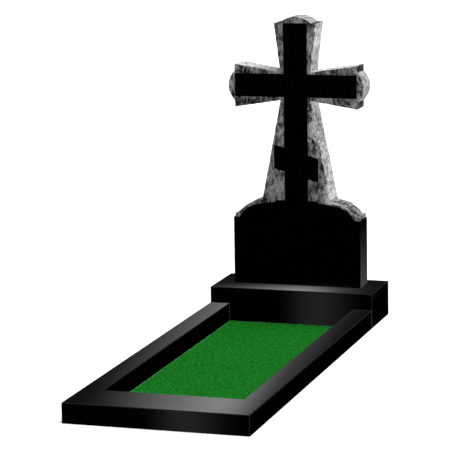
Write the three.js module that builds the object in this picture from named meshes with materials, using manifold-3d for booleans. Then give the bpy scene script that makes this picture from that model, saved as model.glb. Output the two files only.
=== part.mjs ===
// Upright headstone: a carved stele on a plinth, with a kerb around a bed of turf.
// Millimetres, +Z up, +X to the right, the carved face looks towards -Y.
// The origin is on the ground, at the middle of the whole grave.
import * as THREE from 'three';
import { mergeVertices } from 'three/addons/utils/BufferGeometryUtils.js';
import Module from 'manifold-3d';

// Driving dimensions

// plinth and kerb
const GRAVE_WIDTH = 730;
const PLINTH_DEPTH = 300;
const PLINTH_HEIGHT = 150;
const KERB_LENGTH = 1780;
const KERB_HEIGHT = 80;
const KERB_SIDE_WIDTH = 88;
const KERB_FRONT_WIDTH = 210;
const JOINT_GAP = 1.5;
const ARRIS = 2.5;

// turf bed
const TURF_THICKNESS = 3;
const TURF_CLEARANCE = 1;

// stele: heights count from the top of the plinth
const STELE_THICKNESS = 120;
const STELE_SETBACK = 110;
const BEDDING_GAP = 0.3;
const TABLET_WIDTH = 574;
const SHOULDER_HEIGHT = 295;
const RELIEF = 6;
const FUSE = 4;

// arched top of the tablet
const ARCH_HALF_SPAN = 261;
const ARCH_RISE = 78;
const HAUNCH_RADIUS = 117;
const HAUNCH_DROP = 55;
const HEWN_MARGIN = 13;
const HEWN_SHOULDER_RISE = 16;

// flared cross
const CROTCH_HALF_WIDTH = 68;
const CROTCH_LOW = 816;
const CROTCH_HIGH = 940;
const ARM_REACH = 275;
const ARM_END_LOW = 783;
const ARM_END_HIGH = 970;
const HEAD_HALF_WIDTH = 94;
const HEAD_HEIGHT = 1150;
const STEM_FOOT_HALF_WIDTH = 155;
const STEM_FOOT_HEIGHT = 379;
const ARM_LOBE_CHORD = 128;
const HEAD_LOBE_CHORD = 144;
const LOBE_BULGE = 28;

// polished three-bar cross and its step
const UPRIGHT_WIDTH = 104;
const CROSSBAR_LOW = 830;
const CROSSBAR_HIGH = 930;
const CROSSBAR_REACH = 273;
const SLANT_REACH = 99;
const SLANT_HEIGHT = 103;
const SLANT_MIDDLE = 540;
const SLANT_DEGREES = 16;
const STEP_HALF_WIDTH = 95;
const STEP_TOP = 376;

// facets on each round stretch
const ARC_STEPS = 14;

// Derived places

const graveLength = KERB_LENGTH + PLINTH_DEPTH;
const backY = graveLength / 2;
const plinthFrontY = backY - PLINTH_DEPTH;
const kerbFrontY = -graveLength / 2;
const steleFrontY = plinthFrontY + STELE_SETBACK;
const steleBackY = steleFrontY + STELE_THICKNESS;
const hewnFrontY = steleFrontY + RELIEF;
const steleBaseZ = PLINTH_HEIGHT + BEDDING_GAP;

// Materials

const polishedStone = new THREE.MeshStandardMaterial({
  color: 0x0a0a0b, roughness: 0.12, metalness: 0,
});
const carvedStone = new THREE.MeshStandardMaterial({
  color: 0x2a2a2b, roughness: 0.5, metalness: 0,
});
const grass = new THREE.MeshStandardMaterial({
  color: 0x1c7a26, roughness: 0.9, metalness: 0,
});

// Solids that can be joined

const wasm = await Module();
wasm.setup();

function toSolid(geometry) {
  geometry.deleteAttribute('normal');
  geometry.deleteAttribute('uv');
  const welded = mergeVertices(geometry);
  return new wasm.Manifold(new wasm.Mesh({
    numProp: 3,
    vertProperties: new Float32Array(welded.attributes.position.array),
    triVerts: new Uint32Array(welded.index.array),
  }));
}

function toGeometry(solid) {
  const { vertProperties, triVerts } = solid.getMesh();
  const geometry = new THREE.BufferGeometry();
  geometry.setAttribute('position', new THREE.BufferAttribute(vertProperties, 3));
  geometry.setIndex(new THREE.BufferAttribute(triVerts, 1));
  return geometry;
}

// An upright slab: the outline's x is X, its y is height above the plinth.
function uprightSlab(outline, frontY, rearY) {
  const geometry = new THREE.ExtrudeGeometry(new THREE.Shape(outline), {
    depth: rearY - frontY,
    bevelEnabled: false,
  });
  geometry.rotateX(Math.PI / 2);
  geometry.translate(0, rearY, steleBaseZ);
  return toSolid(geometry);
}

function rectangle(left, low, right, high) {
  return [
    new THREE.Vector2(left, low),
    new THREE.Vector2(right, low),
    new THREE.Vector2(right, high),
    new THREE.Vector2(left, high),
  ];
}

// Both halves of an outline from its right half, drawn from the bottom up.
function mirrored(rightHalf) {
  const right = rightHalf.getPoints(ARC_STEPS).filter((point) => point.x > 0);
  const left = right.map((point) => new THREE.Vector2(-point.x, point.y)).reverse();
  return right.concat(left);
}

// Arched top: a flat crown arc runs into a tight haunch arc on each side.
const haunch = new THREE.Vector2(
  ARCH_HALF_SPAN - Math.sqrt(HAUNCH_RADIUS ** 2 - HAUNCH_DROP ** 2),
  SHOULDER_HEIGHT - HAUNCH_DROP,
);
const crownHeight = SHOULDER_HEIGHT + ARCH_RISE;
const haunchToCrown = crownHeight - haunch.y;
const crownRadius = (haunch.x ** 2 + haunchToCrown ** 2 - HAUNCH_RADIUS ** 2)
  / (2 * (haunchToCrown - HAUNCH_RADIUS));
const crownCentre = crownHeight - crownRadius;
const haunchEnd = Math.atan2(haunch.y - crownCentre, haunch.x);

function drawArch(path, margin, springHeight, crownEnd) {
  const radius = HAUNCH_RADIUS + margin;
  const spring = Math.asin((springHeight - haunch.y) / radius);
  path.absarc(haunch.x, haunch.y, radius, spring, haunchEnd, false);
  path.absarc(0, crownCentre, crownRadius + margin, haunchEnd, crownEnd, false);
}

// The angle on the hewn crown arc where the side of the stem lands.
function stemLandingAngle() {
  const radius = crownRadius + HEWN_MARGIN;
  const runX = STEM_FOOT_HALF_WIDTH - CROTCH_HALF_WIDTH;
  const runZ = STEM_FOOT_HEIGHT - CROTCH_LOW;
  const fromCentre = CROTCH_LOW - crownCentre;
  const a = runX ** 2 + runZ ** 2;
  const b = 2 * (CROTCH_HALF_WIDTH * runX + fromCentre * runZ);
  const c = CROTCH_HALF_WIDTH ** 2 + fromCentre ** 2 - radius ** 2;
  const along = (-b - Math.sqrt(b ** 2 - 4 * a * c)) / (2 * a);
  return Math.atan2(fromCentre + along * runZ, CROTCH_HALF_WIDTH + along * runX);
}

// Round lobe on a free end of the cross, over the chord between two short flats:
// its radius, the angle of half its arc, and how far its centre is from the end, outwards.
function lobeArc(chord) {
  const half = chord / 2;
  const radius = (half ** 2 + LOBE_BULGE ** 2) / (2 * LOBE_BULGE);
  return { radius, spread: Math.asin(half / radius), centre: LOBE_BULGE - radius };
}

function hewnOutline() {
  const capHalfWidth = TABLET_WIDTH / 2 - RELIEF;
  const shoulder = SHOULDER_HEIGHT + HEWN_SHOULDER_RISE;
  const armMiddle = (ARM_END_LOW + ARM_END_HIGH) / 2;
  const armLobe = lobeArc(ARM_LOBE_CHORD);
  const headLobe = lobeArc(HEAD_LOBE_CHORD);
  const path = new THREE.Path();
  path.moveTo(capHalfWidth, SHOULDER_HEIGHT - FUSE);
  path.lineTo(capHalfWidth, shoulder);
  drawArch(path, HEWN_MARGIN, shoulder, stemLandingAngle());
  path.lineTo(CROTCH_HALF_WIDTH, CROTCH_LOW);
  path.lineTo(ARM_REACH, ARM_END_LOW);
  path.absarc(
    ARM_REACH + armLobe.centre, armMiddle, armLobe.radius, -armLobe.spread, armLobe.spread, false);
  path.lineTo(ARM_REACH, ARM_END_HIGH);
  path.lineTo(CROTCH_HALF_WIDTH, CROTCH_HIGH);
  path.lineTo(HEAD_HALF_WIDTH, HEAD_HEIGHT);
  path.absarc(
    0, HEAD_HEIGHT + headLobe.centre, headLobe.radius,
    Math.PI / 2 - headLobe.spread, Math.PI / 2, false);
  return mirrored(path);
}

function archPanelOutline() {
  const path = new THREE.Path();
  path.moveTo(ARCH_HALF_SPAN, SHOULDER_HEIGHT - FUSE);
  drawArch(path, 0, SHOULDER_HEIGHT, Math.PI / 2);
  return mirrored(path);
}

function slantedBarOutline() {
  const drop = SLANT_REACH * Math.tan(THREE.MathUtils.degToRad(SLANT_DEGREES));
  const half = SLANT_HEIGHT / 2;
  return [
    new THREE.Vector2(-SLANT_REACH, SLANT_MIDDLE + drop - half),
    new THREE.Vector2(SLANT_REACH, SLANT_MIDDLE - drop - half),
    new THREE.Vector2(SLANT_REACH, SLANT_MIDDLE - drop + half),
    new THREE.Vector2(-SLANT_REACH, SLANT_MIDDLE + drop + half),
  ];
}

// The stele is one stone: polished tablet, hewn cross, polished bars standing proud of it.
function steleGeometry() {
  const halfWidth = TABLET_WIDTH / 2;
  const halfUpright = UPRIGHT_WIDTH / 2;
  const proudOutlines = [
    archPanelOutline(),
    rectangle(-STEP_HALF_WIDTH, SHOULDER_HEIGHT, STEP_HALF_WIDTH, STEP_TOP),
    rectangle(-halfUpright, SHOULDER_HEIGHT, halfUpright, HEAD_HEIGHT),
    rectangle(-CROSSBAR_REACH, CROSSBAR_LOW, CROSSBAR_REACH, CROSSBAR_HIGH),
    slantedBarOutline(),
  ];
  let stone = uprightSlab(
    rectangle(-halfWidth, 0, halfWidth, SHOULDER_HEIGHT), steleFrontY, steleBackY);
  stone = stone.add(uprightSlab(hewnOutline(), hewnFrontY, steleBackY));
  for (const outline of proudOutlines) {
    stone = stone.add(uprightSlab(outline, steleFrontY, hewnFrontY + FUSE));
  }
  return toGeometry(stone);
}

// A sawn block with all its arrises eased, given by its least and greatest corners.
function easedBlock(low, high) {
  const width = high.x - low.x - 2 * ARRIS;
  const depth = high.y - low.y - 2 * ARRIS;
  const height = high.z - low.z - 2 * ARRIS;
  const outline = new THREE.Shape([
    new THREE.Vector2(ARRIS, 0),
    new THREE.Vector2(width + ARRIS, 0),
    new THREE.Vector2(width + 2 * ARRIS, ARRIS),
    new THREE.Vector2(width + 2 * ARRIS, depth + ARRIS),
    new THREE.Vector2(width + ARRIS, depth + 2 * ARRIS),
    new THREE.Vector2(ARRIS, depth + 2 * ARRIS),
    new THREE.Vector2(0, depth + ARRIS),
    new THREE.Vector2(0, ARRIS),
  ]);
  const geometry = new THREE.ExtrudeGeometry(outline, {
    depth: height,
    bevelSize: ARRIS,
    bevelOffset: -ARRIS,
    bevelThickness: ARRIS,
    bevelSegments: 1,
  });
  geometry.translate(low.x, low.y, low.z + ARRIS);
  return geometry;
}

function piece(name, geometry, material) {
  const mesh = new THREE.Mesh(geometry, material);
  mesh.name = name;
  return mesh;
}

// Assembly

const halfGrave = GRAVE_WIDTH / 2;
const innerHalf = halfGrave - KERB_SIDE_WIDTH;
const kerbBackY = plinthFrontY - JOINT_GAP;
const frontPlankBackY = kerbFrontY + KERB_FRONT_WIDTH;
const sidePlankFrontY = frontPlankBackY + JOINT_GAP;

const plinth = easedBlock(
  new THREE.Vector3(-halfGrave, plinthFrontY, 0),
  new THREE.Vector3(halfGrave, backY, PLINTH_HEIGHT));
const frontPlank = easedBlock(
  new THREE.Vector3(-halfGrave, kerbFrontY, 0),
  new THREE.Vector3(halfGrave, frontPlankBackY, KERB_HEIGHT));
const leftPlank = easedBlock(
  new THREE.Vector3(-halfGrave, sidePlankFrontY, 0),
  new THREE.Vector3(-innerHalf, kerbBackY, KERB_HEIGHT));
const rightPlank = easedBlock(
  new THREE.Vector3(innerHalf, sidePlankFrontY, 0),
  new THREE.Vector3(halfGrave, kerbBackY, KERB_HEIGHT));

const turfWidth = 2 * (innerHalf - TURF_CLEARANCE);
const turfLength = plinthFrontY - frontPlankBackY - 2 * TURF_CLEARANCE;
const turf = new THREE.BoxGeometry(turfWidth, turfLength, TURF_THICKNESS);
turf.translate(0, (frontPlankBackY + plinthFrontY) / 2, TURF_THICKNESS / 2);

const headstone = new THREE.Group();
headstone.add(piece('stele', steleGeometry(), carvedStone));
headstone.add(piece('plinth', plinth, polishedStone));
headstone.add(piece('kerb_front', frontPlank, polishedStone));
headstone.add(piece('kerb_left', leftPlank, polishedStone));
headstone.add(piece('kerb_right', rightPlank, polishedStone));
headstone.add(piece('turf', turf, grass));

export default headstone;
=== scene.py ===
"""Looks of the upright headstone: polished black stone, hewn cross, low kerb and turf."""
import math
import random

import bmesh
import bpy
from mathutils import Matrix, Vector, noise
from mathutils.kdtree import KDTree


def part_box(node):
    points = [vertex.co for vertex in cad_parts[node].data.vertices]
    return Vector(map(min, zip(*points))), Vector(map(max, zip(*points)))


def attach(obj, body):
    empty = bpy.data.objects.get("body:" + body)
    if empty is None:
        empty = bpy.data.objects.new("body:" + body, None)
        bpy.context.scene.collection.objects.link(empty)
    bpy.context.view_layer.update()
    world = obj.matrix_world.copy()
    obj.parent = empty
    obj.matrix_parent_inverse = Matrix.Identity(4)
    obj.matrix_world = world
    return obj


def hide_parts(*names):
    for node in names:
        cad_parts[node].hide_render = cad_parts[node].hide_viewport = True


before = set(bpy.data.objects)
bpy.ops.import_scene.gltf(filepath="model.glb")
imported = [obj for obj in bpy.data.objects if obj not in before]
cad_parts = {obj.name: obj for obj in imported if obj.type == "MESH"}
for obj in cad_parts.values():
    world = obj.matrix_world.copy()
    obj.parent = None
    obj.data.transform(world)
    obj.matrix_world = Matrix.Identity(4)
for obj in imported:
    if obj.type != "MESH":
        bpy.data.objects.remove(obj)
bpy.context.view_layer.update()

# Stele, in metres: heights above the foot or the shoulders, reach from the middle, the polished relief
SHOULDER_HEIGHT = 0.295
CAP_RISE = 0.088
HEAD_RISE = 0.855
ARM_REACH = 0.275
PANEL_DEPTH = 0.022
PANEL_ARRIS = 0.0012
PANEL_ARRIS_SEGMENTS = 2
stele_low, stele_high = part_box("stele")
SHOULDER_Z = stele_low.z + SHOULDER_HEIGHT

# Hewn faces: the even grid that is tooled, and how far it goes into the tablet
HEWN_OCTREE = 8
HEWN_FILL = 0.99
HEWN_CELL = 0.0036
HEWN_OVERLAP = 0.008
# Broken facets on the faces that look forward and on the edges: size, depth
FRONT_FACETS = (0.024, 0.0030)
EDGE_FACETS = (0.036, 0.0040)
FACET_SEED_STRIDE = 61.7
# Waves over the facets, and the unevenness of the chipped arris
BROAD_WAVES = {"height": 0.0010, "per_metre": 16, "start": (0, 0, 0), "softness": 0.9, "octaves": 3}
FINE_WAVES = {"height": 0.0006, "per_metre": 120, "start": (0, 0, 0), "softness": 0.8, "octaves": 2}
CHIP_WAVES = {"per_metre": 24, "start": (7, 3, 5), "softness": 0.9, "octaves": 3}
OCTAVE_STEP = 2.0
# The tooling rises no higher than this, and less so near the front arris
MOST_PROUD = 0.0015
RIM_RISE = 0.0006
RIM_SLOPE = 0.3
# Chips: their reach per unevenness past a threshold, their slope, and what must break to bare a fresh face
CHIP_SIZE = 0.018
CHIP_FROM = 0.15
CHIP_SLOPE = 0.6
CHIP_SHOWS = 0.002
# Bites out of the stem's right arris: height above the shoulder, half length, reach. One share of the
# reach is even, and one follows the unevenness.
STEM_BITES = ((0.389, 0.055, 0.038), (0.10, 0.075, 0.024))
BITE_EVEN = 0.8
BITE_ROUGH = 0.6
# Around a chip that reaches farther than this, the ground is bruised for so many times its reach
BITE_REACH = 0.006
BRUISE_SPREAD = 1.7

# Plinth and kerb: arrises, and pale strips at the back ends of the side planks that paint a highlight
# beside the joints
BLOCK_ARRIS = 0.003
BLOCK_ARRIS_SEGMENTS = 3
BLOCK_FACE_WEIGHT = 100
LEFT_HIGHLIGHT_STRIP = 0.006
RIGHT_HIGHLIGHT_STRIP = 0.003

# Turf: its root above the ground, its spread past the node, its blades, and the highlight painted along
# its border
TURF_ROOT = 0.0005
TURF_SPREAD = 0.0009
TURF_SEED = 11
BLADE_SPACING = 0.0047
BLADE_HEIGHT = (0.0016, 0.0032)
BLADE_LEAN = 0.003
EDGE_HIGHLIGHT_WIDTH = 0.005

# How square a face is to an axis, as a part of its normal
FLAT = 0.98
TOOLED_FORWARD = 0.7
GROUND_FORWARD = 0.75
# Tolerances: metres, radians, decimals of a metre
MERGED = 1e-5
TOUCHING = 1e-4
LEVEL_ANGLE = math.radians(0.2)
SHARP_ANGLE = 1
LEVEL_DECIMALS = 4

# Finishes: ranges of the drawn values, noises and plain shader values
PALE_CRYSTALS = (0.55, 1.0)
MOTTLE_START = (1.8, 0.5, 1.5)
MIDDLE_TONE = 0.5
PATCH_NOISE = {"Detail": 5.0, "Roughness": 0.68, "Distortion": 0.6}
GRIT_NOISE = {"Scale": 420.0, "Detail": 3.0, "Roughness": 0.7}
BROAD_NOISE = {"Scale": 13.0, "Detail": 2.0}
TUFT_NOISE = {"Scale": 70.0, "Detail": 4.0, "Roughness": 0.8}
HEWN_BUMP = {"Strength": 0.6, "Distance": 0.003}
HEWN_ROUGHNESS = 0.88
HEWN_SPECULAR = 0.2
LUSH_TUFTS = (0.35, 0.65)
# Grass from its root to its tip: the darker root colour paints the shade deep in the mat.
GRASS_ROOT_SHADE = (0.002, 0.1, 0.004, 1)
GRASS_TIP = (0.013, 0.48, 0.031, 1)
# A greyer green, painted as a highlight along the edges of the mat.
GRASS_EDGE_HIGHLIGHT = (0.07, 0.24, 0.08, 1)
GRASS_ROUGHNESS = 0.75
GRASS_SPECULAR = 0.1
FLOOR_COLOUR = (0.9, 0.9, 0.9, 1)
WHITE = (1, 1, 1, 1)

# Camera, read off the picture: degrees, pixels of the picture, metres
PICTURE_PIXELS = 450
FOCAL_PIXELS = 2378
SENSOR_MM = 36
CAMERA_PLACE = (2.846, -8.960, 2.317)
CAMERA_YAW = 17.93
CAMERA_PITCH = 10.5
CAMERA_ROLL = -0.93
CAMERA_CLIP_END = 200

# Studio: the floor, a sun so many degrees wide, the dome's strengths, and what the polish mirrors
FLOOR_REACH = 60
FLOOR_GLOW = 0.25
SUN_PLACE = (2.9, 0.7, 9.5)
SUN_TARGET = (0, 0.3, 0.3)
SUN_STRENGTH = 3.6
SUN_WIDTH = 50
STUDIO_SEEN = 0.95
STUDIO_FILL = 0.28
MIRRORED_DOME = 0.028
DOME_HORIZON = (0, 0.1)
# Each ring of panels, in degrees: the bearing of one panel, how far the panels lean, where they start
# and are full on the left, on the right, and at the end that is nearer to the horizon or farther off.
# The tall panels and their wide glow stand above the horizon, and show in the tops of the blocks. The
# others lie below it, and show in the upright faces: of the plinth, of the kerb, and of the tablet.
PANEL_COUNT = 11
TALL_PANELS = {"strength": 1.35, "bearing": -7.37, "lean": 40.8, "left": (-4.04, 1.5),
               "right": (0.89, -0.56), "near": (11.89, 12.17), "far": (80, 70)}
TALL_GLOW = {**TALL_PANELS, "strength": 0.38, "right": (1.77, 0)}
PLINTH_PANELS = {"strength": 2.0, "bearing": -164.3, "lean": 0, "left": (-1.25, 0.5),
                 "right": (1.0, -0.25), "near": (-11.9, -12.2), "far": (-14.6, -13.9)}
KERB_PANELS = {"strength": 1.95, "bearing": -161.03, "lean": 0, "left": (-1.4, 0.55),
               "right": (1.15, -0.25), "near": (-14.2, -14.9), "far": (-60, -40)}
TABLET_PANELS = {"strength": 0.6, "bearing": 14.37, "lean": 0, "left": (0, 0.05),
                 "right": (9, 4), "near": (-10.3, -13.6), "far": (-12.4, -12.2)}
PANEL_RINGS = (TALL_PANELS, TALL_GLOW, PLINTH_PANELS, KERB_PANELS, TABLET_PANELS)


# Shader helpers

def new_material(name):
    material = bpy.data.materials.new(name)
    material.use_nodes = True
    shader = material.node_tree.nodes["Principled BSDF"]
    return material, material.node_tree, shader


def feed(tree, socket, value):
    """Links a socket to another one, or sets it to a plain value."""
    if isinstance(value, bpy.types.NodeSocket):
        tree.links.new(value, socket)
    else:
        socket.default_value = value


def add_node(tree, kind, **settings):
    """A node with its settings by name: its inputs are fed, and the rest is set on the node."""
    node = tree.nodes.new(kind)
    for name, value in settings.items():
        if name in node.inputs:
            feed(tree, node.inputs[name], value)
        else:
            setattr(node, name, value)
    return node


def step_up(tree, value, start, full, interpolation="SMOOTHSTEP"):
    """From 0 at start to 1 at full, which may be the lesser of the two."""
    step = add_node(tree, "ShaderNodeMapRange", interpolation_type=interpolation, Value=value)
    feed(tree, step.inputs["From Min"], start)
    feed(tree, step.inputs["From Max"], full)
    return step.outputs["Result"]


def compute(tree, operation, *values, kind="ShaderNodeMath"):
    """A math node whose inputs are linked or plain values."""
    node = add_node(tree, kind, operation=operation)
    for socket, value in zip(node.inputs, values):
        feed(tree, socket, value)
    return node.outputs[0]


def blend(tree, kind, factor, first, second):
    """The first value where the factor is 0, the second where it is 1."""
    mix = add_node(tree, "ShaderNodeMix", data_type=kind, Factor=factor, A=first, B=second)
    return mix.outputs["Result"]


def new_group(name, inputs, outputs):
    group = bpy.data.node_groups.new(name, "ShaderNodeTree")
    for label, kind, value in inputs:
        socket = group.interface.new_socket(label, in_out="INPUT", socket_type=kind)
        socket.default_value = value
    for label, kind in outputs:
        group.interface.new_socket(label, in_out="OUTPUT", socket_type=kind)
    given = group.nodes.new("NodeGroupInput").outputs
    made = group.nodes.new("NodeGroupOutput").inputs
    return group, given, made


def place_group(tree, group, **values):
    node = tree.nodes.new("ShaderNodeGroup")
    node.node_tree = group
    coordinates = tree.nodes.new("ShaderNodeTexCoord")
    tree.links.new(coordinates.outputs["Object"], node.inputs["Position"])
    for label, value in values.items():
        node.inputs[label.replace("_", " ")].default_value = value
    return node


def crystal_grain_group():
    """Dense dark crystals with a few paler ones, as in black granite."""
    group, given, made = new_group(
        "crystal grain",
        [("Position", "NodeSocketVector", (0, 0, 0)),
         ("Dark", "NodeSocketColor", (0, 0, 0, 1)),
         ("Pale", "NodeSocketColor", (1, 1, 1, 1)),
         ("Crystals per metre", "NodeSocketFloat", 300.0),
         ("Sheen", "NodeSocketFloat", 0.06),
         ("Sheen spread", "NodeSocketFloat", 0.04)],
        [("Color", "NodeSocketColor"), ("Roughness", "NodeSocketFloat")])
    cells = add_node(
        group, "ShaderNodeTexVoronoi", Vector=given["Position"], Scale=given["Crystals per metre"])
    drawn = add_node(group, "ShaderNodeSeparateColor", Color=cells.outputs["Color"]).outputs
    paler = step_up(group, drawn["Red"], *PALE_CRYSTALS)
    colour = blend(group, "RGBA", paler, given["Dark"], given["Pale"])
    gloss = compute(group, "MULTIPLY_ADD", drawn["Green"], given["Sheen spread"], given["Sheen"])
    feed(group, made["Color"], colour)
    feed(group, made["Roughness"], gloss)
    return group


def hewn_mottle_group():
    """Crushed stone: pale bruises, dark hollows and a fine grit."""
    group, given, made = new_group(
        "hewn mottle",
        [("Position", "NodeSocketVector", (0, 0, 0)),
         ("Dark", "NodeSocketColor", (0, 0, 0, 1)),
         ("Pale", "NodeSocketColor", (1, 1, 1, 1)),
         ("Patches per metre", "NodeSocketFloat", 40.0),
         ("Streak", "NodeSocketFloat", 0.45),
         ("Drag", "NodeSocketFloat", 1.0),
         ("Grit", "NodeSocketFloat", 0.3),
         ("Broad tone", "NodeSocketFloat", 0.28),
         ("Dark below", "NodeSocketFloat", 0.4),
         ("Pale above", "NodeSocketFloat", 0.6)],
        [("Color", "NodeSocketColor"), ("Height", "NodeSocketFloat")])
    place = compute(group, "ADD", given["Position"], MOTTLE_START, kind="ShaderNodeVectorMath")
    stretch = add_node(group, "ShaderNodeCombineXYZ", X=1.0, Y=given["Drag"], Z=given["Streak"])
    drawn = compute(group, "MULTIPLY", place, stretch.outputs["Vector"], kind="ShaderNodeVectorMath")
    patches = add_node(
        group, "ShaderNodeTexNoise", Vector=drawn, Scale=given["Patches per metre"], **PATCH_NOISE)
    grit = add_node(group, "ShaderNodeTexNoise", Vector=place, **GRIT_NOISE)
    broad = add_node(group, "ShaderNodeTexNoise", Vector=place, **BROAD_NOISE)
    height = blend(group, "FLOAT", given["Grit"], patches.outputs["Fac"], grit.outputs["Fac"])
    around_zero = compute(group, "SUBTRACT", broad.outputs["Fac"], MIDDLE_TONE)
    tone = compute(group, "MULTIPLY_ADD", around_zero, given["Broad tone"], height)
    contrast = step_up(group, tone, given["Dark below"], given["Pale above"])
    colour = blend(group, "RGBA", contrast, given["Dark"], given["Pale"])
    feed(group, made["Color"], colour)
    feed(group, made["Height"], height)
    return group


CRYSTAL_GRAIN = crystal_grain_group()
HEWN_MOTTLE = hewn_mottle_group()


def polished_stone(name, dark, pale, sheen, spread, specular):
    material, tree, shader = new_material(name)
    grain = place_group(
        tree, CRYSTAL_GRAIN, Dark=(*dark, 1), Pale=(*pale, 1), Sheen=sheen, Sheen_spread=spread)
    tree.links.new(grain.outputs["Color"], shader.inputs["Base Color"])
    tree.links.new(grain.outputs["Roughness"], shader.inputs["Roughness"])
    shader.inputs["Specular IOR Level"].default_value = specular
    return material


def hewn_stone(name, dark, pale, tones, patches, streak, drag, grit, broad):
    material, tree, shader = new_material(name)
    mottle = place_group(
        tree, HEWN_MOTTLE, Dark=(dark, dark, dark, 1), Pale=(pale, pale, pale, 1),
        Patches_per_metre=patches, Streak=streak, Drag=drag, Grit=grit, Broad_tone=broad,
        Dark_below=tones[0], Pale_above=tones[1])
    bump = add_node(tree, "ShaderNodeBump", Height=mottle.outputs["Height"], **HEWN_BUMP)
    tree.links.new(mottle.outputs["Color"], shader.inputs["Base Color"])
    tree.links.new(bump.outputs["Normal"], shader.inputs["Normal"])
    shader.inputs["Roughness"].default_value = HEWN_ROUGHNESS
    shader.inputs["Specular IOR Level"].default_value = HEWN_SPECULAR
    return material


def edge_highlight_mask(tree, x, y):
    """1 along the border of the turf, where a highlight is painted, 0 inside it."""
    low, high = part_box("turf")
    border = 0
    for value, start, end in ((x, low.x, high.x), (y, low.y, high.y)):
        from_middle = compute(tree, "ABSOLUTE", compute(tree, "SUBTRACT", value, (start + end) / 2))
        half = (end - start) / 2
        edge = step_up(tree, from_middle, half - EDGE_HIGHLIGHT_WIDTH, half - EDGE_HIGHLIGHT_WIDTH / 2)
        border = compute(tree, "MAXIMUM", border, edge)
    return border


def grass_material():
    """Green blades, darker at the root as painted shade deep in the mat, and a paler border that paints a
    highlight along the mat's edge.
    """
    material, tree, shader = new_material("grass")
    place = tree.nodes.new("ShaderNodeTexCoord").outputs["Object"]
    split = add_node(tree, "ShaderNodeSeparateXYZ", Vector=place).outputs
    rise = step_up(tree, split["Z"], TURF_ROOT, TURF_ROOT + BLADE_HEIGHT[1], "LINEAR")
    tufts = add_node(tree, "ShaderNodeTexNoise", Vector=place, **TUFT_NOISE)
    lush = step_up(tree, tufts.outputs["Fac"], *LUSH_TUFTS, "LINEAR")
    # Painted shade: the blades darken towards the root, and where the tufts are thin.
    green = blend(tree, "RGBA", compute(tree, "MULTIPLY", lush, rise), GRASS_ROOT_SHADE, GRASS_TIP)
    border = edge_highlight_mask(tree, split["X"], split["Y"])
    colour = blend(tree, "RGBA", border, green, GRASS_EDGE_HIGHLIGHT)
    tree.links.new(colour, shader.inputs["Base Color"])
    shader.inputs["Roughness"].default_value = GRASS_ROUGHNESS
    shader.inputs["Specular IOR Level"].default_value = GRASS_SPECULAR
    return material


def floor_material():
    """White, and lit from within as the camera sees it, so that the shadows on it stay faint."""
    material, tree, shader = new_material("pale floor")
    shader.inputs["Base Color"].default_value = FLOOR_COLOUR
    shader.inputs["Roughness"].default_value = 1.0
    shader.inputs["Specular IOR Level"].default_value = 0.0
    shader.inputs["Emission Color"].default_value = WHITE
    path = tree.nodes.new("ShaderNodeLightPath")
    glow = compute(tree, "MULTIPLY", path.outputs["Is Camera Ray"], FLOOR_GLOW)
    tree.links.new(glow, shader.inputs["Emission Strength"])
    return material


POLISHED_BLACK = polished_stone(
    "polished black stone", dark=(0.0002, 0.0002, 0.0002), pale=(0.0035, 0.0035, 0.0037),
    sheen=0.012, spread=0.012, specular=0.12)
# Arrises: a real honed finish, whose paler grey also paints the highlight that the rounded arrises catch.
HONED_ARRIS_HIGHLIGHT = polished_stone(
    "honed arris with painted highlight", dark=(0.006, 0.006, 0.006), pale=(0.02, 0.02, 0.021),
    sheen=0.35, spread=0.04, specular=0.15)
HONED_BACK = polished_stone(
    "honed black stone", dark=(0.010, 0.010, 0.011), pale=(0.035, 0.035, 0.037),
    sheen=0.38, spread=0.04, specular=0.3)
HEWN_GROUND = hewn_stone(
    "hewn ground", dark=0.004, pale=0.39, tones=(0.40, 0.65),
    patches=85, streak=0.42, drag=1, grit=0.3, broad=0.28)
# A darker copy of the hewn stone for the flats beside the lobes: painted shade where they turn from the
# light.
HEWN_FLAT_SHADE_PAINTED = hewn_stone(
    "hewn flat with painted shade", dark=0.003, pale=0.14, tones=(0.41, 0.63),
    patches=85, streak=0.5, drag=0.4, grit=0.3, broad=0.28)
SPLIT_EDGE = hewn_stone(
    "split edge", dark=0.24, pale=0.74, tones=(0.40, 0.58),
    patches=105, streak=0.5, drag=0.3, grit=0.2, broad=0.16)
HEWN_LOBE = hewn_stone(
    "hewn lobe", dark=0.19, pale=0.52, tones=(0.40, 0.59),
    patches=90, streak=0.7, drag=0.3, grit=0.2, broad=0.16)
HEWN_CAP = hewn_stone(
    "hewn cap", dark=0.008, pale=0.45, tones=(0.44, 0.61),
    patches=70, streak=0.8, drag=0.5, grit=0.35, broad=0.28)
# A pale strip at the back ends of the side planks: a painted highlight beside the joints with the plinth.
HIGHLIGHT_STRIP = hewn_stone(
    "painted highlight strip", dark=0.07, pale=0.11, tones=(0.40, 0.60),
    patches=90, streak=1, drag=1, grit=0.5, broad=0.1)
GRASS = grass_material()


# Mesh helpers

def merged_copy(node):
    """A node's mesh with its loose triangles joined into whole flat faces."""
    bm = bmesh.new()
    bm.from_mesh(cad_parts[node].data)
    bmesh.ops.remove_doubles(bm, verts=bm.verts, dist=MERGED)
    bmesh.ops.dissolve_limit(
        bm, angle_limit=LEVEL_ANGLE, verts=bm.verts[:], edges=bm.edges[:], delimit=set())
    return bm


def keep_faces(bm, wanted):
    unwanted = [face for face in bm.faces if not wanted(face)]
    bmesh.ops.delete(bm, geom=unwanted, context="FACES")


def cut(bm, place, direction, **clear):
    """Cuts the bmesh along a plane, and may clear what is on one side of it."""
    bmesh.ops.bisect_plane(
        bm, geom=bm.verts[:] + bm.edges[:] + bm.faces[:], plane_co=place, plane_no=direction, **clear)


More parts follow.
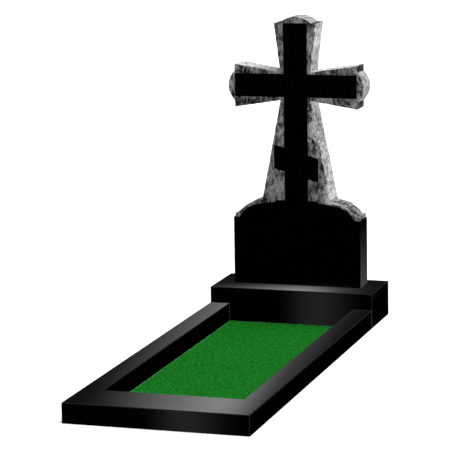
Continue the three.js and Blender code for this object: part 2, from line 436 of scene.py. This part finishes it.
def thicken(bm, offset):
    """A closed slab from the bmesh's flat faces, pulled along offset."""
    pulled = bmesh.ops.extrude_face_region(bm, geom=bm.faces[:], use_keep_orig=True)
    moved = [item for item in pulled["geom"] if isinstance(item, bmesh.types.BMVert)]
    bmesh.ops.translate(bm, verts=moved, vec=offset)
    bmesh.ops.recalc_face_normals(bm, faces=bm.faces[:])


def is_sharp(edge):
    return edge.calc_face_angle(0) > SHARP_ANGLE


def ease_edges(bm, edges, width, segments):
    bmesh.ops.bevel(
        bm, geom=edges, offset=width, offset_type="OFFSET", affect="EDGES", segments=segments,
        profile=0.5, material=-1, clamp_overlap=True)


def as_object(name, bm, materials):
    """An object that no polish mirrors: as in the picture, the stones mirror the studio alone."""
    mesh = bpy.data.meshes.new(name)
    bm.to_mesh(mesh)
    bm.free()
    for material in materials:
        mesh.materials.append(material)
    piece = bpy.data.objects.new(name, mesh)
    piece.visible_glossy = False
    bpy.context.scene.collection.objects.link(piece)
    return piece


def apply_modifiers(piece):
    depsgraph = bpy.context.evaluated_depsgraph_get()
    finished = bpy.data.meshes.new_from_object(piece.evaluated_get(depsgraph))
    piece.modifiers.clear()
    piece.data = finished


def join_solid(piece, other):
    modifier = piece.modifiers.new("join", "BOOLEAN")
    modifier.operation = "UNION"
    modifier.solver = "MANIFOLD"
    modifier.object = other
    apply_modifiers(piece)
    bpy.data.objects.remove(other)


# Stele

STELE_MATERIALS = [
    POLISHED_BLACK, HEWN_GROUND, HEWN_FLAT_SHADE_PAINTED, SPLIT_EDGE, HEWN_LOBE, HEWN_CAP, HONED_BACK]
POLISHED, GROUND, PAINTED_SHADE_FLAT, EDGE, LOBE, CAP, BACK = range(7)


def ground_level():
    """Depth of the hewn ground: the second of the levels that face the viewer."""
    bm = merged_copy("stele")
    forward = [face for face in bm.faces if face.normal.y < -FLAT]
    levels = {round(face.calc_center_median().y, LEVEL_DECIMALS) for face in forward}
    bm.free()
    return sorted(levels)[1]


GROUND_Y = ground_level()


def proud_panel():
    """Tablet face, step and three-bar cross: the polished relief in one slab."""
    bm = merged_copy("stele")
    front = stele_low.y + (GROUND_Y - stele_low.y) / 2
    keep_faces(bm, lambda face: face.normal.y < -FLAT and face.calc_center_median().y < front)
    thicken(bm, Vector((0, PANEL_DEPTH, 0)))
    in_front = [edge for edge in bm.edges if all(vert.co.y < front for vert in edge.verts)]
    rim = [edge for edge in in_front if is_sharp(edge)]
    ease_edges(bm, rim, PANEL_ARRIS, PANEL_ARRIS_SEGMENTS)
    return as_object("proud_panel", bm, STELE_MATERIALS)


def back_sheet(height, **clear):
    """The flat back of the stele, cut level at a height and cleared on one side of the cut."""
    bm = merged_copy("stele")
    keep_faces(bm, lambda face: face.normal.y > FLAT)
    cut(bm, (0, 0, height), (0, 0, 1), **clear)
    return bm


def tablet_block():
    """The polished body of the tablet, behind its face and below the shoulders."""
    bm = back_sheet(SHOULDER_Z, clear_outer=True)
    thicken(bm, Vector((0, stele_low.y + PANEL_DEPTH / 2 - stele_high.y, 0)))
    ease_edges(bm, [edge for edge in bm.edges if is_sharp(edge)], PANEL_ARRIS, PANEL_ARRIS_SEGMENTS)
    for face in bm.faces:
        if face.normal.y > FLAT:
            face.material_index = BACK
    return as_object("tablet_block", bm, STELE_MATERIALS)


def hewn_body():
    """The cross and the arched cap above the shoulders, before they are tooled."""
    bm = back_sheet(SHOULDER_Z + HEWN_OVERLAP / 2, clear_inner=True)
    foot = [vert for vert in bm.verts if vert.co.z < SHOULDER_Z + HEWN_OVERLAP]
    bmesh.ops.translate(bm, verts=foot, vec=(0, 0, -2 * HEWN_OVERLAP))
    thicken(bm, Vector((0, GROUND_Y - stele_high.y, 0)))
    body = as_object("carved_stele", bm, STELE_MATERIALS)
    remesh = body.modifiers.new("even faces", "REMESH")
    remesh.mode = "SHARP"
    remesh.octree_depth = HEWN_OCTREE
    remesh.scale = HEWN_FILL
    apply_modifiers(body)
    return body


def facet_height(point, size):
    """Tilted facet under a point: each cell of the stone breaks along a plane of its own."""
    scaled = point / size
    seed = noise.voronoi(scaled)[1][0]
    tilt = noise.cell_vector(seed * FACET_SEED_STRIDE) - Vector((0.5, 0.5, 0.5))
    return (scaled - seed).dot(tilt)


def wave_height(place, waves):
    """Uneven waves between about -1 and 1."""
    scaled = place * waves["per_metre"] + Vector(waves["start"])
    return noise.fractal(scaled, waves["softness"], OCTAVE_STEP, waves["octaves"])


def chisel_height(place, forward):
    """How far the tooled stone stands over its plain face."""
    size, depth = FRONT_FACETS if forward else EDGE_FACETS
    height = depth * facet_height(place, size)
    for waves in (BROAD_WAVES, FINE_WAVES):
        height += waves["height"] * wave_height(place, waves)
    return height


def chip_reach(place, facing_right):
    """How far the front arris is broken away: two bites on the stem, small ones elsewhere.

    The lobes keep theirs whole."""
    if abs(place.x) > ARM_REACH or place.z > SHOULDER_Z + HEAD_RISE:
        return 0
    rough = wave_height(place, CHIP_WAVES)
    reach = CHIP_SIZE * max(0, rough - CHIP_FROM)
    if place.x > 0:
        for middle, half_length, farthest in STEM_BITES:
            across = (place.z - SHOULDER_Z - middle) / half_length
            bite = farthest * (1 - across ** 2) * (BITE_EVEN + BITE_ROUGH * rough)
            reach = max(reach, bite)
    return reach * facing_right


def hewn_material(face):
    """Dark tooled ground in front, pale split edges, the darker cap, and painted shade on the flats beside
    the lobes.
    """
    middle = face.calc_center_median()
    if face.normal.y > FLAT:
        return BACK
    if face.normal.y < -GROUND_FORWARD:
        return GROUND
    if middle.z < SHOULDER_Z + CAP_RISE:
        return CAP
    past_arm = abs(middle.x) - ARM_REACH
    past_head = middle.z - SHOULDER_Z - HEAD_RISE
    beside_arm_lobe = abs(face.normal.x) > FLAT and abs(past_arm) < HEWN_CELL
    beside_head_lobe = face.normal.z > FLAT and abs(past_head) < HEWN_CELL
    # Painted shade: the flats beside the lobes take the darker copy of the hewn stone.
    if beside_arm_lobe or beside_head_lobe:
        return PAINTED_SHADE_FLAT
    return LOBE if past_arm > 0 or past_head > 0 else EDGE


def front_rim(bm):
    """The vertices along the front arris, and a tree that finds the nearest one."""
    front = GROUND_Y + HEWN_CELL / 2
    rim = [vert for vert in bm.verts if vert.co.y < front and vert.normal.y > -FLAT]
    tree = KDTree(len(rim))
    for index, vert in enumerate(rim):
        tree.insert(vert.co, index)
    tree.balance()
    return rim, tree


def tool_hewn_faces(body):
    """Moves the even faces as a point chisel would, and leaves the back sawn flat."""
    bm = bmesh.new()
    bm.from_mesh(body.data)
    bm.normal_update()
    for face in bm.faces:
        face.material_index = hewn_material(face)
    rim, rim_tree = front_rim(bm)
    moves = {}
    for vert in bm.verts:
        place = vert.co.copy()
        at_back = place.y > stele_high.y - HEWN_CELL / 2
        if at_back and vert.normal.y > FLAT:
            moves[vert] = Vector((place.x, stele_high.y, place.z))
            continue
        forward = vert.normal.y < -TOOLED_FORWARD
        index, near = rim_tree.find(place)[1:]
        reach = chip_reach(place, max(0, rim[index].normal.x))
        broken = reach - near
        height = min(chisel_height(place, forward), RIM_RISE + near * RIM_SLOPE)
        height -= CHIP_SLOPE * max(0, broken)
        moves[vert] = place + vert.normal * min(height, MOST_PROUD)
        if at_back:
            moves[vert].y = stele_high.y
        chipped = broken > CHIP_SHOWS
        bruised = reach > BITE_REACH and near < BRUISE_SPREAD * reach
        if forward and (chipped or bruised):
            for face in vert.link_faces:
                face.material_index = EDGE if chipped else LOBE
    for vert, place in moves.items():
        vert.co = place
    bm.normal_update()
    bm.to_mesh(body.data)
    bm.free()


def make_stele():
    stele = hewn_body()
    tool_hewn_faces(stele)
    join_solid(stele, tablet_block())
    join_solid(stele, proud_panel())
    for face in stele.data.polygons:
        face.use_smooth = face.material_index not in (POLISHED, BACK)
    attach(stele, "root")
    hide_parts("stele")


# Plinth and kerb

BLOCK_MATERIALS = [POLISHED_BLACK, HONED_ARRIS_HIGHLIGHT, HIGHLIGHT_STRIP]
BLOCK_FACE, BLOCK_EDGE, BLOCK_HIGHLIGHT_STRIP = range(3)


def make_block(node, name, front_butted=False, back_butted=False, back_highlight_strip=0):
    """A sawn block in the node's place, polished, with softly rounded arrises that are honed and paler,
    which paints a highlight along them.

    The arrises on the ground stay sharp, and so do those of an end that butts another block.
    At the back, a narrow pale strip beside the joint paints a highlight along the arris there."""
    low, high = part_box(node)
    bm = bmesh.new()
    bmesh.ops.create_cube(bm, size=1)
    bmesh.ops.scale(bm, vec=high - low, verts=bm.verts)
    bmesh.ops.translate(bm, vec=(low + high) / 2, verts=bm.verts)

    def is_open(edge):
        middle = (edge.verts[0].co + edge.verts[1].co) / 2
        at_front_joint = front_butted and middle.y < low.y + TOUCHING
        at_back_joint = back_butted and middle.y > high.y - TOUCHING
        on_ground = middle.z < low.z + TOUCHING
        return not (on_ground or at_front_joint or at_back_joint)

    ease_edges(bm, [edge for edge in bm.edges if is_open(edge)], BLOCK_ARRIS, BLOCK_ARRIS_SEGMENTS)
    highlight_strip_from = high.y - back_highlight_strip
    if back_highlight_strip:
        cut(bm, (0, highlight_strip_from, 0), (0, 1, 0))
    bm.normal_update()
    for face in bm.faces:
        face.smooth = True
        square = max(abs(value) for value in face.normal) > FLAT
        # The rounded arrises take the paler honed finish: partly a painted highlight.
        face.material_index = BLOCK_FACE if square else BLOCK_EDGE
        # Painted highlight: the pale strip at the back end, beside the joint.
        if back_highlight_strip and face.calc_center_median().y > highlight_strip_from:
            face.material_index = BLOCK_HIGHLIGHT_STRIP
    for edge in bm.edges:
        edge.smooth = not is_sharp(edge)
    block = as_object(name, bm, BLOCK_MATERIALS)
    flatten = block.modifiers.new("flat faces", "WEIGHTED_NORMAL")
    flatten.weight = BLOCK_FACE_WEIGHT
    flatten.keep_sharp = True
    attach(block, "root")
    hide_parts(node)


# Turf

def make_turf():
    """A mat of short grass: a fine grid whose every cell rises to a leaning blade."""
    low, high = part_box("turf")
    spread = Vector((TURF_SPREAD, TURF_SPREAD, 0))
    low, high = low - spread, high + spread
    size = high - low
    middle = (low + high) / 2
    draw = random.Random(TURF_SEED)
    bm = bmesh.new()
    bmesh.ops.create_grid(
        bm, x_segments=round(size.x / BLADE_SPACING), y_segments=round(size.y / BLADE_SPACING), size=0.5)
    bmesh.ops.scale(bm, vec=(size.x, size.y, 1), verts=bm.verts)
    bmesh.ops.translate(bm, vec=(middle.x, middle.y, TURF_ROOT), verts=bm.verts)
    cells = bm.faces[:]
    border = [edge for edge in bm.edges if edge.is_boundary]
    skirt = bmesh.ops.extrude_edge_only(bm, edges=border)["geom"]
    for item in skirt:
        if isinstance(item, bmesh.types.BMVert):
            item.co.z = low.z
    bmesh.ops.holes_fill(bm, edges=[edge for edge in bm.edges if edge.is_boundary], sides=0)
    blades = bmesh.ops.poke(bm, faces=cells)["verts"]
    for tip in blades:
        tip.co.x = min(max(tip.co.x + draw.uniform(-1, 1) * BLADE_LEAN, low.x), high.x)
        tip.co.y = min(max(tip.co.y + draw.uniform(-1, 1) * BLADE_LEAN, low.y), high.y)
        tip.co.z += draw.uniform(*BLADE_HEIGHT)
    bmesh.ops.recalc_face_normals(bm, faces=bm.faces[:])
    turf = as_object("turf_mat", bm, [GRASS])
    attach(turf, "root")
    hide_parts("turf")


# Studio

def make_floor():
    bm = bmesh.new()
    bmesh.ops.create_grid(bm, x_segments=1, y_segments=1, size=FLOOR_REACH)
    floor = as_object("floor", bm, [floor_material()])


def panel_ring(tree, bearing, height, ring):
    """A ring of like panels of light with soft sides and ends."""
    half_step = math.pi / PANEL_COUNT
    leant = compute(tree, "MULTIPLY_ADD", height, math.radians(ring["lean"]), bearing)
    turned = compute(tree, "SUBTRACT", leant, math.radians(ring["bearing"]))
    across = compute(tree, "WRAP", turned, half_step, -half_step)
    light = ring["strength"]
    for side in ("left", "right"):
        start, full = (math.radians(angle) for angle in ring[side])
        light = compute(tree, "MULTIPLY", step_up(tree, across, start, full), light)
    for end in ("near", "far"):
        start, full = (math.sin(math.radians(angle)) for angle in ring[end])
        light = compute(tree, "MULTIPLY", step_up(tree, height, start, full), light)
    return light


def mirrored_studio(tree):
    """What the polish mirrors: a dim dome and the rings of panels."""
    place = tree.nodes.new("ShaderNodeTexCoord")
    split = add_node(tree, "ShaderNodeSeparateXYZ", Vector=place.outputs["Generated"]).outputs
    height = split["Z"]
    bearing = compute(tree, "ARCTAN2", split["X"], split["Y"])
    light = compute(tree, "MULTIPLY", step_up(tree, height, *DOME_HORIZON), MIRRORED_DOME)
    for ring in PANEL_RINGS:
        light = compute(tree, "ADD", light, panel_ring(tree, bearing, height, ring))
    return light


def make_world():
    """A white studio that lights evenly, and shows as dim with soft panels in the polish."""
    world = bpy.data.worlds.new("studio")
    world.use_nodes = True
    tree = world.node_tree
    ray = tree.nodes.new("ShaderNodeLightPath").outputs
    unseen = blend(tree, "FLOAT", ray["Is Glossy Ray"], STUDIO_FILL, mirrored_studio(tree))
    strength = blend(tree, "FLOAT", ray["Is Camera Ray"], unseen, STUDIO_SEEN)
    background = tree.nodes["Background"]
    background.inputs["Color"].default_value = WHITE
    tree.links.new(strength, background.inputs["Strength"])
    bpy.context.scene.world = world


def make_sun():
    light = bpy.data.lights.new("soft_sun", "SUN")
    light.energy = SUN_STRENGTH
    light.angle = math.radians(SUN_WIDTH)
    sun = bpy.data.objects.new("soft_sun", light)
    direction = Vector(SUN_TARGET) - Vector(SUN_PLACE)
    aim = direction.to_track_quat("-Z", "Y").to_matrix().to_4x4()
    sun.matrix_world = Matrix.Translation(SUN_PLACE) @ aim
    sun.visible_camera = False
    bpy.context.scene.collection.objects.link(sun)


def make_camera():
    data = bpy.data.cameras.new("camera")
    data.sensor_width = SENSOR_MM
    data.lens = FOCAL_PIXELS / PICTURE_PIXELS * SENSOR_MM
    data.clip_end = CAMERA_CLIP_END
    camera = bpy.data.objects.new("camera", data)
    turn = Matrix.Rotation(math.radians(CAMERA_YAW), 4, "Z")
    tilt = Matrix.Rotation(math.radians(90 - CAMERA_PITCH), 4, "X")
    roll = Matrix.Rotation(math.radians(CAMERA_ROLL), 4, "Z")
    camera.matrix_world = Matrix.Translation(CAMERA_PLACE) @ turn @ tilt @ roll
    bpy.context.scene.collection.objects.link(camera)
    bpy.context.scene.camera = camera


make_camera()
make_floor()
make_world()
make_sun()
make_stele()
make_block("plinth", "plinth_block")
make_block("kerb_front", "front_plank", back_butted=True)
make_block("kerb_left", "left_plank", front_butted=True, back_butted=True, back_highlight_strip=LEFT_HIGHLIGHT_STRIP)
make_block("kerb_right", "right_plank", front_butted=True, back_butted=True, back_highlight_strip=RIGHT_HIGHLIGHT_STRIP)
make_turf()

bpy.context.scene.view_settings.view_transform = "Standard"
